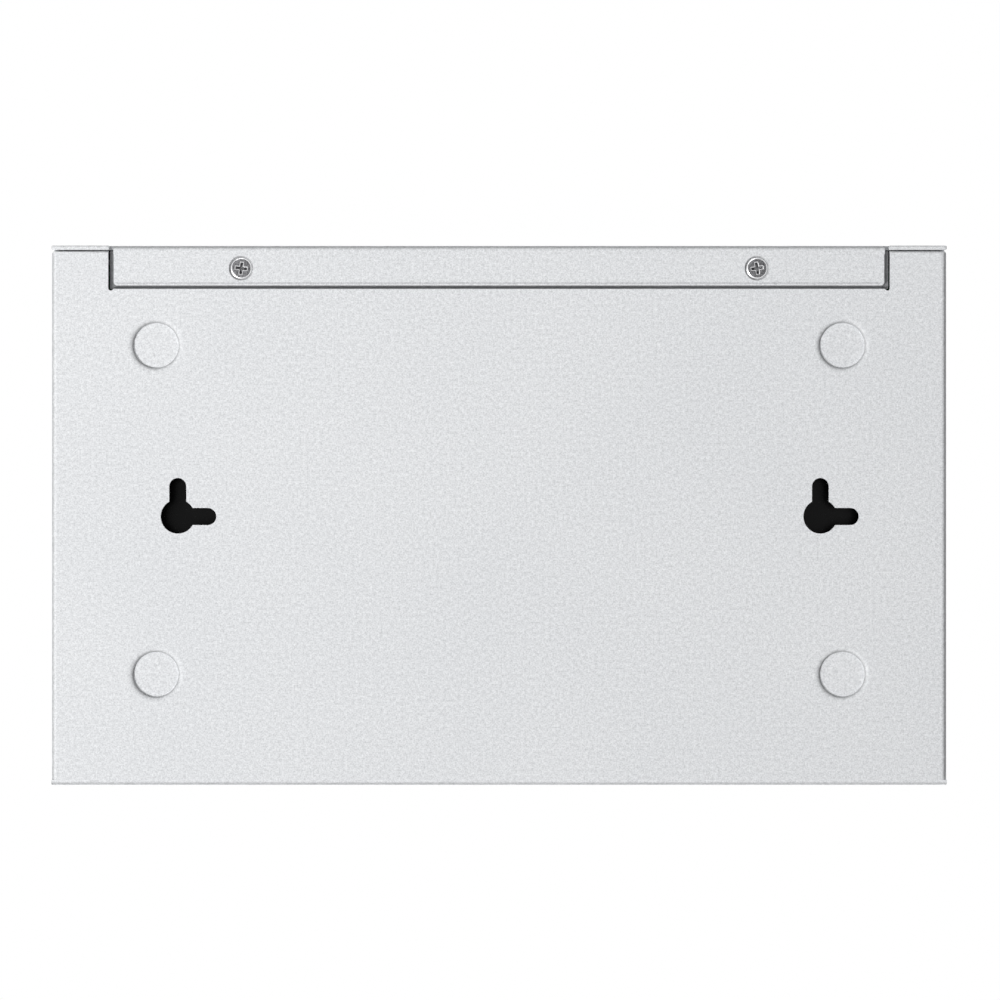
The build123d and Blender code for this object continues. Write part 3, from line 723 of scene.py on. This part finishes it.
def repeated(name, part, finish, start, columns, columnStep, rows=1, rowStep=(0.0, 0.0, 0.0)):
    host = bpy.data.objects.new(name, bpy.data.meshes.new(name))
    scene.collection.objects.link(host)
    modifier = host.modifiers.new("repeat", "NODES")
    modifier.node_group = repeatTree
    values = {"Part": part, "Columns": columns, "Column step": columnStep, "Rows": rows,
              "Row step": rowStep, "Start": start, "Finish": finish}
    for socket in repeatTree.interface.items_tree:
        if socket.in_out == "INPUT":
            modifier[socket.identifier] = values[socket.name]
    settled(host)
    bpy.data.objects.remove(part)
    return host


# both sheets and what they share
sheetFacts = {
    "sheet": 1.0,
    "bend": 1.3,
    "insideBend": 0.3,
    "edge": 0.13,
    "stepRound": 0.35,
    "stepHeight": 1.15,
    "flapHalf": 90.0,
    "screwX": 60.2,
    "screwY": 57.7,
}


def folded(low, high, rim, fold):
    # U section of bent sheet between low and high, open at the rim
    f = sheetFacts
    t, bend, inner = f["sheet"], f["bend"], f["insideBend"]
    inside = fold + math.copysign(t, rim - fold)
    return [(low, rim, 0), (low, fold, bend), (high, fold, bend), (high, rim, 0), (high - t, rim, 0),
            (high - t, inside, inner), (low + t, inside, inner), (low + t, rim, 0)]


def stepped(start, end, stop, level, beyond):
    # section of a sheet that steps from its level to the one beyond
    f = sheetFacts
    thick = math.copysign(f["sheet"], beyond - level)
    lean = math.atan2(f["stepHeight"], abs(end - start)) / 2
    shift = math.copysign(f["sheet"] * math.tan(lean), end - start)
    return roundOff([
        (start - shift, level, 0), (start, level, f["stepRound"]), (end, beyond, 0), (stop, beyond, 0),
        (stop, beyond + thick, 0), (end - shift, beyond + thick, f["stepRound"]),
        (start - shift, level + thick, 0)], coarseStep)


def endCutters(name, half, low, high):
    # takes the bends off both ends of a strip, between two (y, z) corners
    shapes = []
    for side in (-1, 1):
        near, far = sorted((side * (half - sheetFacts["bend"]), side * (half + past)))
        shapes.append(block((near, *low), (far, *high)))
    return workObject(name, *shapes)


# base tray
trayFacts = {
    **sheetFacts,
    "flangeReach": 6.0,
    "rearEdge": 0.62,
    "rearCorner": 1.0,
    "stepStart": 52.85,
    "stepEnd": 53.45,
    "wing": 0.95,
    "wingRound": 0.45,               # radius as a part of the wing's reach
    "wingRoot": 0.5,                 # how far the wings overlap the tongue
    "wingStart": 1.0,                # and how far behind the step they do so
    "shadedGapZ": (0.12, 2.4),          # heights between which the tray's faces under the flap are given painted shade
    "shadedGapBefore": 0.05,            # how far before the step that starts
    "slotWidth": 1.25,
    "slotRun": 0.37,
    "seatX": 80.1,
    "seatY": (39.7, -37.1),
    "seatFloor": 5.17,
    "seatDepth": 0.8,
    "seatRun": 1.466,
    "seatTurn": 88.0,                # how far the seat's wall rolls in, in degrees
    "seatSteps": 10,
    # (radius, z) of the seat's inner side
    "boss": [(0, 0.5), (6.6, 0.5), (6.6, 1.0), (6.3, 1.12), (6.05, 1.5), (5.85, 1.72), (5.55, 1.8),
             (0, 1.8)],
    "keyholeX": 75.0,
    "keyholeY": -0.25,
    "keyholeRadius": 4.0,
    "armWidth": 4.0,
    "armReach": 9.0,
    "keyholeCuts": ((-2, 4), (-2.1, 4.1), (-2.2, 4.2)),  # no two ends lie in one plane
    "tipSlack": 0.002,               # keeps two arcs from meeting in one point
    "vents": 14,
    "ventPitch": 5.5,
    "ventSize": (2.0, 11.0),
    "ventCentre": (8.0, 12.5),
    "ventRound": 0.85,
    "screwBore": 1.5,
    "jackWindow": 0.3,
    "lightWindow": (1.8, 1.2),
    "lightPitch": (3.2, 4.0),
    "lightColumns": 6,
    "lightRows": 2,
    "pipeProud": 0.1,
    "across": 120.0,                 # half of a cutter that goes right across
}


def seatCutter(x, y):
    f = trayFacts
    mouth, steps = f["seatFloor"] + f["seatRun"], f["seatSteps"]
    profile = [(0, -past), (mouth, -past), (mouth, 0.0)]
    for step in range(1, steps + 1):              # rolls in ever more steeply
        turn = math.radians(f["seatTurn"]) * step / steps
        profile.append((mouth - f["seatRun"] * math.sin(turn), f["seatDepth"] * (1 - math.cos(turn))))
    return moved(lathe([*profile, (0, f["seatDepth"])]), x, y)


def seatBoss(x, y):
    return moved(lathe(trayFacts["boss"], segments=64), x, y)


def trayTongue(rear):
    # the tongue steps up behind the cover's flap, with a narrow wing on each side
    f = trayFacts
    t, half = f["sheet"], f["flapHalf"]
    start, end, height = f["stepStart"], f["stepEnd"], f["stepHeight"]
    tongue = workObject("tongue", prism(stepped(start, end, rear, 0, height), "x", -half, half))
    wings = []
    outer, root, behind = half + f["wing"], half - f["wingRoot"], end + f["wingStart"]
    for side in (-1, 1):
        outline = roundOff([
            (side * half, start, 0), (side * outer, start, f["wing"] * f["wingRound"]),
            (side * outer, rear, 0), (side * root, rear, 0), (side * root, behind, 0),
            (side * half, behind, 0)])
        wings.append(prism(outline, "z", height, height + t))
    places = [(side * f["screwX"], f["screwY"]) for side in (-1, 1)]
    bores = [prism(circle(x, y, f["screwBore"], segments=48), "z", -past, 6 * past) for x, y in places]
    return shaped(tongue, ("add", workObject("wings", *wings)), ("cut", workObject("bores", *bores)))


def rearRound(rear):
    # takes the lower rear edge down to a quarter round
    r = trayFacts["rearEdge"]
    arc = [(rear - r + u, r - v) for u, v in quarterTurn(r)]
    outline = [(rear - r, -past), (rear + past, -past), (rear + past, r), *arc]
    return workObject("rearRound", prism(outline, "x", -trayFacts["across"], trayFacts["across"]))


def cornerRound(half, rear, top):
    # takes the upright rear corners down to a radius
    r = trayFacts["rearCorner"]
    outer = half + past
    shapes = []
    for side in (-1, 1):
        arc = [(side * (half - r + u), rear - r + v) for u, v in quarterTurn(r)]
        outline = [(side * outer, rear - r), *arc,
                   (side * (half - r), rear + past), (side * outer, rear + past)]
        shapes.append(prism(outline, "z", -2 * past, top + 2 * past))
    return workObject("cornerRound", *shapes)


def foldedTray(front, rear, half, top):
    # floor, two side walls and the front wall with its returns
    bend, flangeEnd = trayFacts["bend"], front + trayFacts["flangeReach"]
    tray = workObject("tray", prism(roundOff(folded(-half, half, top, 0)), "y", front + bend, rear))
    section = [(y, z, radius) for z, y, radius in folded(0, top, flangeEnd, front)]
    wall = workObject("wall", prism(roundOff(section), "x", -half, half))
    corners = endCutters("corners", half, (front + bend, -past), (flangeEnd + past, top + past))
    return tray, shaped(wall, ("cut", corners))


def flapOpening(rear):
    # the cover's flap lies in the opening, between two relief slots
    f = trayFacts
    halfSlot = f["slotWidth"] / 2
    slotX = f["flapHalf"] + halfSlot
    foot = f["stepStart"] - f["slotRun"]
    opening = workObject("opening", block((-slotX, f["stepStart"], -past), (slotX, rear + past, 2 * past)))
    slots = workObject("slots", *[
        prism(roundOff([
            (side * slotX - halfSlot, foot, halfSlot - f["tipSlack"]),
            (side * slotX + halfSlot, foot, halfSlot - f["tipSlack"]),
            (side * slotX + halfSlot, rear + 2 * past, 0), (side * slotX - halfSlot, rear + 2 * past, 0)]),
            "z", -1.5 * past, 2.5 * past) for side in (-1, 1)])
    return opening, slots


def keyholeCutters():
    # round entries, and arms to the rear and to the side
    f = trayFacts
    halfArm, reach = f["armWidth"] / 2, f["armReach"]
    tip = halfArm - f["tipSlack"]
    outlines = {"rounds": [], "rearArms": [], "sideArms": []}
    for x, y in ((side * f["keyholeX"], f["keyholeY"]) for side in (-1, 1)):
        left, right, near, far = x - halfArm, x + halfArm, y - halfArm, y + halfArm
        outlines["rounds"].append(circle(x, y, f["keyholeRadius"]))
        outlines["rearArms"].append(roundOff([
            (left, y, 0), (right, y, 0), (right, y + reach, tip), (left, y + reach, tip)]))
        outlines["sideArms"].append(roundOff([
            (x, near, 0), (x, far, 0), (x - reach, far, tip), (x - reach, near, tip)]))
    return [workObject(name, *[prism(outline, "z", *span) for outline in shapes])
            for (name, shapes), span in zip(outlines.items(), f["keyholeCuts"])]


def jackWindows(front):
    gap = trayFacts["jackWindow"]
    windows = []
    for name in jacks:
        low, high = boxOf(name + "_shield")
        windows.append(block((low.x - gap, front - past, low.z - gap),
                             (high.x + gap, front + 2 * past, high.z + gap)))
    return workObject("windows", *windows)


def lightWindows(front):
    f = trayFacts
    low, high = boxOf("light_guide")
    width, height = f["lightWindow"]
    columnStep, rowStep = f["lightPitch"]
    x = (low.x + high.x) / 2 - (f["lightColumns"] - 1) / 2 * columnStep
    # the upper row's pipe tops out half a step below the guide's top
    middle = high.z - rowStep / 2 - height / 2 + f["pipeProud"]
    part = workObject("lightPart", block((-width / 2, -past, -height / 2), (width / 2, 2 * past, height / 2)))
    return repeated("lights", part, finishes["paint"], (x, front, middle - rowStep / 2),
                    f["lightColumns"], (columnStep, 0.0, 0.0), f["lightRows"], (0.0, 0.0, rowStep))


def ventRow(half):
    # one cutter through both side walls for each vent
    f = trayFacts
    width, height = f["ventSize"]
    middle, z = f["ventCentre"]
    outline = rectangle(-width / 2, width / 2, -height / 2, height / 2, f["ventRound"])
    part = workObject("ventPart", prism(outline, "x", -half - 2 * past, half + 2 * past))
    start = (0.0, middle - (f["vents"] - 1) / 2 * f["ventPitch"], z)
    return repeated("ventRow", part, finishes["paint"], start, f["vents"], (0.0, f["ventPitch"], 0.0))


def makeTray():
    f = trayFacts
    low, high = boxOf("base_tray")
    front, rear, top = low.y, high.y, high.z
    half = boxOf("top_cover")[1].x               # its sides stand flush with the cover's wall
    tray, wall = foldedTray(front, rear, half, top)
    opening, slots = flapOpening(rear)
    seats = [(side * f["seatX"], y) for side in (-1, 1) for y in f["seatY"]]
    shaped(tray, ("add", wall), ("cut", opening), ("cut", slots), ("add", trayTongue(rear)),
           ("add", workObject("bosses", *[seatBoss(x, y) for x, y in seats])),
           ("cut", workObject("hollows", *[seatCutter(x, y) for x, y in seats])),
           *[("cut", cutter) for cutter in keyholeCutters()],
           ("cut", rearRound(rear)), ("cut", cornerRound(half, rear, top)),
           ("cut", jackWindows(front)), ("cut", lightWindows(front)))
    softened(tray, f["edge"])
    shaped(tray, ("cut", ventRow(half)))
    # faces in the gap under the flap get the darker paint, painted shade where the flap shades them
    paintedShadeFaces = []
    lowest, highest = f["shadedGapZ"]
    for face in tray.data.polygons:
        spot = face.center
        inGap = (spot.y > f["stepStart"] - f["shadedGapBefore"]
                 and abs(spot.x) < f["flapHalf"] + f["wing"] + close)
        paintedShadeFaces.append(inGap and lowest < spot.z < highest)
    finishPiece(tray, "trayShell", "paint", ["base_tray"])
    giveSecond(tray, "paintedGapShade", paintedShadeFaces)


# top cover
coverFacts = {
    **sheetFacts,
    "flapEdge": 53.6,
    "flapCorner": 0.9,
    "flapRim": 0.25,
    "flapStop": 1.5,                 # how far before the rear the flap's plate stops,
    "bendStart": 2.0,                # and the bend that it runs into starts
    "overlap": 0.5,                  # of the rear wall's upper bend and the lid
    "grooveInset": 0.66,             # faint line that shearing leaves behind the flap's edge
    "grooveDepth": 0.11,
    "grooveRadius": 0.22,
    "grooveEnd": 0.7,
    "wallEdge": 0.38,
    "wallEnd": 0.42,
    "notchWidth": 1.1,
    "notchHeight": 1.6,
    "notchRound": 0.3,
    "lidHalf": 103.2,
    "lidFront": -56.25,
    "lidNotch": 0.6,
    "sideFlange": 8.0,
    "stepRun": 0.6,
    "tongueReach": 5.0,
    # (radius, z) of the hollow round each screw
    "dimple": [(0.0, -1.0), (2.98, -1.0), (2.98, 0.0), (2.86, 0.06), (2.76, 0.18), (2.65, 0.37), (1.65, 1.0),
               (1.65, 2.0), (0.0, 2.0)],
    "inletHole": 4.5,
    "lock": (7.0, 3.0, 0.5),
    "lockX": -82.0,
}


def coverFlap(rear):
    # flap with its dimples, rounded rim and the faint line behind it
    f = coverFacts
    half = f["flapHalf"]
    flap = workObject("flap", prism(roundOff([
        (-half, f["flapEdge"], f["flapCorner"]), (half, f["flapEdge"], f["flapCorner"]),
        (half, rear - f["flapStop"], 0), (-half, rear - f["flapStop"], 0)]), "z", 0, f["sheet"]))
    dimples = workObject("dimples", *[
        moved(lathe(f["dimple"], segments=72), side * f["screwX"], f["screwY"]) for side in (-1, 1)])
    centre = (f["flapEdge"] + f["grooveInset"], f["grooveDepth"] - f["grooveRadius"])
    line = circle(*centre, f["grooveRadius"], segments=48)
    groove = workObject("groove", prism(line, "x", -half + f["grooveEnd"], half - f["grooveEnd"]))
    shaped(flap, ("cut", dimples))
    softened(flap, f["flapRim"], 3, where=lambda p: abs(p.z) < close)
    return shaped(flap, ("cut", groove))


def coverLid(top, channelRear):
    # top with its side flanges, and the stepped tongue that goes under the tray's front return
    f = coverFacts
    half, front = f["lidHalf"], f["lidFront"]
    section = roundOff(folded(-half, half, top - f["sideFlange"], top))
    lid = workObject("lid", prism(section, "y", front, channelRear))
    foot = front - f["stepRun"]
    section = stepped(front, foot, foot - f["tongueReach"], top, top - f["stepHeight"])
    inside = half - f["bend"]
    return lid, workObject("lidTongue", prism(section, "x", -inside, inside))


def makeCover():
    f = coverFacts
    high = boxOf("top_cover")[1]
    half, rear, top = high.x, high.y, high.z
    t, bend, inner = f["sheet"], f["bend"], f["insideBend"]
    wallInside = rear - t
    notch, lidNotch = f["flapHalf"] + f["notchWidth"], f["lidHalf"] + f["lidNotch"]
    deep, notchRound = f["notchHeight"], f["notchRound"]
    cover = workObject("cover", prism(roundOff([
        (-half, 0, 0), (-notch, 0, 0), (-notch, deep, notchRound), (notch, deep, notchRound), (notch, 0, 0),
        (half, 0, 0), (half, top, 0), (lidNotch, top, 0), (lidNotch, top - deep, notchRound),
        (-lidNotch, top - deep, notchRound), (-lidNotch, top, 0), (-half, top, 0)]), "y", wallInside, rear))
    channelRear = rear - bend - f["lidNotch"]
    bends = []
    for name, start, level, span in (("lowerBend", rear - f["bendStart"], 0.0, f["flapHalf"]),
                                     ("upperBend", channelRear - f["overlap"], top, f["lidHalf"])):
        inside = level + math.copysign(t, top / 2 - level)
        bends.append(workObject(name, prism(roundOff([
            (start, level, 0), (rear, level, bend), (rear, top / 2, 0), (wallInside, top / 2, 0),
            (wallInside, inside, inner), (start, inside, 0)]), "x", -span, span)))
    lowerBend, upperBend = bends
    shaped(upperBend, ("cut", endCutters("ends", f["lidHalf"], (channelRear, top / 2 + 2 * past),
                                         (rear - bend, top + past))))
    lid, tongue = coverLid(top, channelRear)
    pinLow, pinHigh = boxOf("dc_inlet_pin")
    inlet = (pinLow + pinHigh) / 2
    through = (wallInside - past, rear + past)
    inletHole = workObject("inletHole", prism(circle(inlet.x, inlet.z, f["inletHole"]), "y", *through))
    lockWidth, lockHeight, lockRound = f["lock"]
    lock = workObject("lockSlot", prism(rectangle(
        f["lockX"] - lockWidth / 2, f["lockX"] + lockWidth / 2,
        (top - lockHeight) / 2, (top + lockHeight) / 2, lockRound), "y", *through))
    shaped(cover, ("add", lowerBend), ("add", upperBend), ("add", lid), ("add", tongue),
           ("cut", inletHole), ("cut", lock))
    softened(cover, f["wallEnd"], 3, where=lambda p: abs(abs(p.x) - half) < close)
    softened(cover, f["wallEdge"], 3,
             where=lambda p: p.y > rear - close and abs(p.z) < close and abs(p.x) > notch - close)
    softened(cover, f["edge"])
    shaped(cover, ("add", coverFlap(rear)))
    finishPiece(cover, "coverShell", "paint", ["top_cover"])


# cover screws
screwFacts = {
    "faceZ": 0.06,
    # (radius, depth from the face) of the head
    "head": [(0, 0), (1.6, 0.01), (2.05, 0.03), (2.2, 0.07), (2.36, 0.15), (2.5, 0.25), (2.55, 0.32),
             (2.5, 0.42), (1.5, 0.9)],
    "shankStart": 1.0,
    "threadStart": 1.2,
    "threadStep": 0.5,
    "threadDepth": 0.22,
    "shankRadius": 1.45,
    "shankEnd": 4.66,
    "tipInset": 0.2,
    "recessSpan": 2.7,
    "recessWidth": 0.62,
    "recessDepth": 1.05,
    "recessLip": 0.16,               # lip round the cross, drawn pale as a painted highlight
    "lipHighlightSlope": (0.4, 0.95),         # how upright the normals of the lip faces that get the painted highlight are
    "faceRadius": 2.14,
    "edge": 0.03,
    "turns": (7.0, -9.0),            # how far each screw is turned, in degrees
}


def crossCutter(face):
    # cross recess that tapers to its foot
    f = screwFacts
    bm = bmesh.new()
    rings = []
    lip = f["recessLip"]
    # depth, parts of the span and of the width, and what the lip adds
    levels = ((-0.3, 1.0, 1.0, lip * 1.05), (0.0, 1.0, 1.0, lip), (lip * 0.9, 1.0, 1.0, 0.0),
              (0.75, 0.62, 0.72, 0.0), (f["recessDepth"], 0.3, 0.6, 0.0))
    for depth, spread, width, flare in levels:
        a, b = f["recessSpan"] / 2 * spread + flare, f["recessWidth"] / 2 * width + flare
        cross = [(a, -b), (a, b), (b, b), (b, a), (-b, a), (-b, b),
                 (-a, b), (-a, -b), (-b, -b), (-b, -a), (b, -a), (b, -b)]
        rings.append([bm.verts.new((x, y, face + depth)) for x, y in cross])
    return skinned(bm, rings)


def makeScrews():
    f = screwFacts
    face, shank, end = f["faceZ"], f["shankRadius"], f["shankEnd"]
    profile = [(radius, face + depth) for radius, depth in f["head"]]
    profile.append((shank, face + f["shankStart"]))
    z = face + f["threadStart"]
    while z < end - f["threadStep"]:              # rolled thread
        profile += [(shank, z), (shank - f["threadDepth"], z + f["threadDepth"])]
        z += f["threadStep"]
    profile += [(shank - f["tipInset"], end), (0, end)]
    screwX, screwY = sheetFacts["screwX"], sheetFacts["screwY"]
    heads = []
    for side, turn in zip((1, -1), f["turns"]):
        head = workObject("head", lathe(profile, segments=64))
        shaped(head, ("cut", workObject("cross", crossCutter(face))))
        head.data.transform(Matrix.Rotation(math.radians(turn), 4, "Z"))
        head.data.transform(Matrix.Translation((side * screwX, screwY, 0)))
        shape = bmesh.new()
        shape.from_mesh(head.data)
        heads.append(shape)
        bpy.data.objects.remove(head)
    screws = softened(workObject("screws", *heads), f["edge"])
    # the rim round each head and the lip round its cross get the pale zinc, a painted highlight; the face
    # keeps the dark zinc, a painted dark reflection
    lowest, highest = f["lipHighlightSlope"]
    highlightFaces = []
    for part in screws.data.polygons:
        out = math.hypot(abs(part.center.x) - screwX, part.center.y - screwY)
        lip = part.center.z < face + f["recessLip"] and lowest < abs(part.normal.z) < highest
        highlightFaces.append(out > f["faceRadius"] or lip)
    finishPiece(screws, "coverScrewPair", "screw", ["cover_screws"])
    giveSecond(screws, "screwHighlight", highlightFaces)


# port contacts
contactFacts = {
    "wire": 0.19,                    # radius
    "sideGap": 0.2,                  # from the block's end to the first wire's middle
    "perPort": 8,
    "pitch": 1.02,
    "portPitch": 13.97,
    # (y from the jack's face, z from the board)
    "path": [(13.25, 0.0), (13.25, 1.55), (13.0, 1.83), (2.3, 1.83), (1.95, 1.95), (1.8, 2.15), (1.95, 2.32),
             (2.5, 2.42), (8.0, 3.1), (10.9, 3.52)],
}


def makeWire(front, board):
    # one spring contact along its path
    f = contactFacts
    curve = bpy.data.curves.new("wirePath", "CURVE")
    curve.dimensions = "3D"
    curve.bevel_depth = f["wire"]
    curve.bevel_resolution = 1
    curve.use_fill_caps = True
    spline = curve.splines.new("POLY")
    spline.points.add(len(f["path"]) - 1)
    for point, (y, z) in zip(spline.points, f["path"]):
        point.co = (0.0, front + y, board + z, 1.0)
    path = bpy.data.objects.new("wirePath", curve)
    scene.collection.objects.link(path)
    wire = bpy.data.objects.new("wire", freshMesh(path))
    scene.collection.objects.link(wire)
    bpy.data.objects.remove(path)
    return wire


def makeContacts():
    f = contactFacts
    for name in jacks:
        low, high = boxOf(name + "_contacts")
        ports = round((high.x - low.x - (f["perPort"] - 1) * f["pitch"]) / f["portPitch"]) + 1
        housing = boxOf(name + "_housing")[0]
        rows = repeated(name + "Wires", makeWire(housing.y, housing.z), finishes["gold"],
                        (low.x + f["sideGap"], 0.0, 0.0), f["perPort"], (f["pitch"], 0.0, 0.0),
                        ports, (f["portPitch"], 0.0, 0.0))
        finishPiece(rows, name.replace("_", "") + "Wires", "gold", [name + "_contacts"],
                    weighted=False)


makeTray()
makeCover()
makeScrews()
makeContacts()


# carried-over parts
nodeFinishes = {
    "insulating_film": "film",
    "main_board": "board",
    "board_standoffs": "tin",
    "board_screws": "screw",
    "light_guide": "clear",
    "indicator_leds": "led",
    "housing": "moulding",
    "dc_inlet": "tin",
    "shield": "shield",
    "bulk_capacitor": "aluminium",
    "heat_sink": "aluminium",
    "thermal_pad": "pad",
}


def finishFor(node):
    # the first name that the node's name holds
    for part, finish in nodeFinishes.items():
        if part in node:
            return finishes[finish]
    return finishes["chip"]


replaced = ("base_tray", "top_cover", "cover_screws", "_contacts")
for node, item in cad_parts.items():
    if node.endswith(replaced):
        continue
    for materialSlot in item.material_slots:
        materialSlot.link = "OBJECT"
        materialSlot.material = finishFor(node)
print("carried-over parts finished")
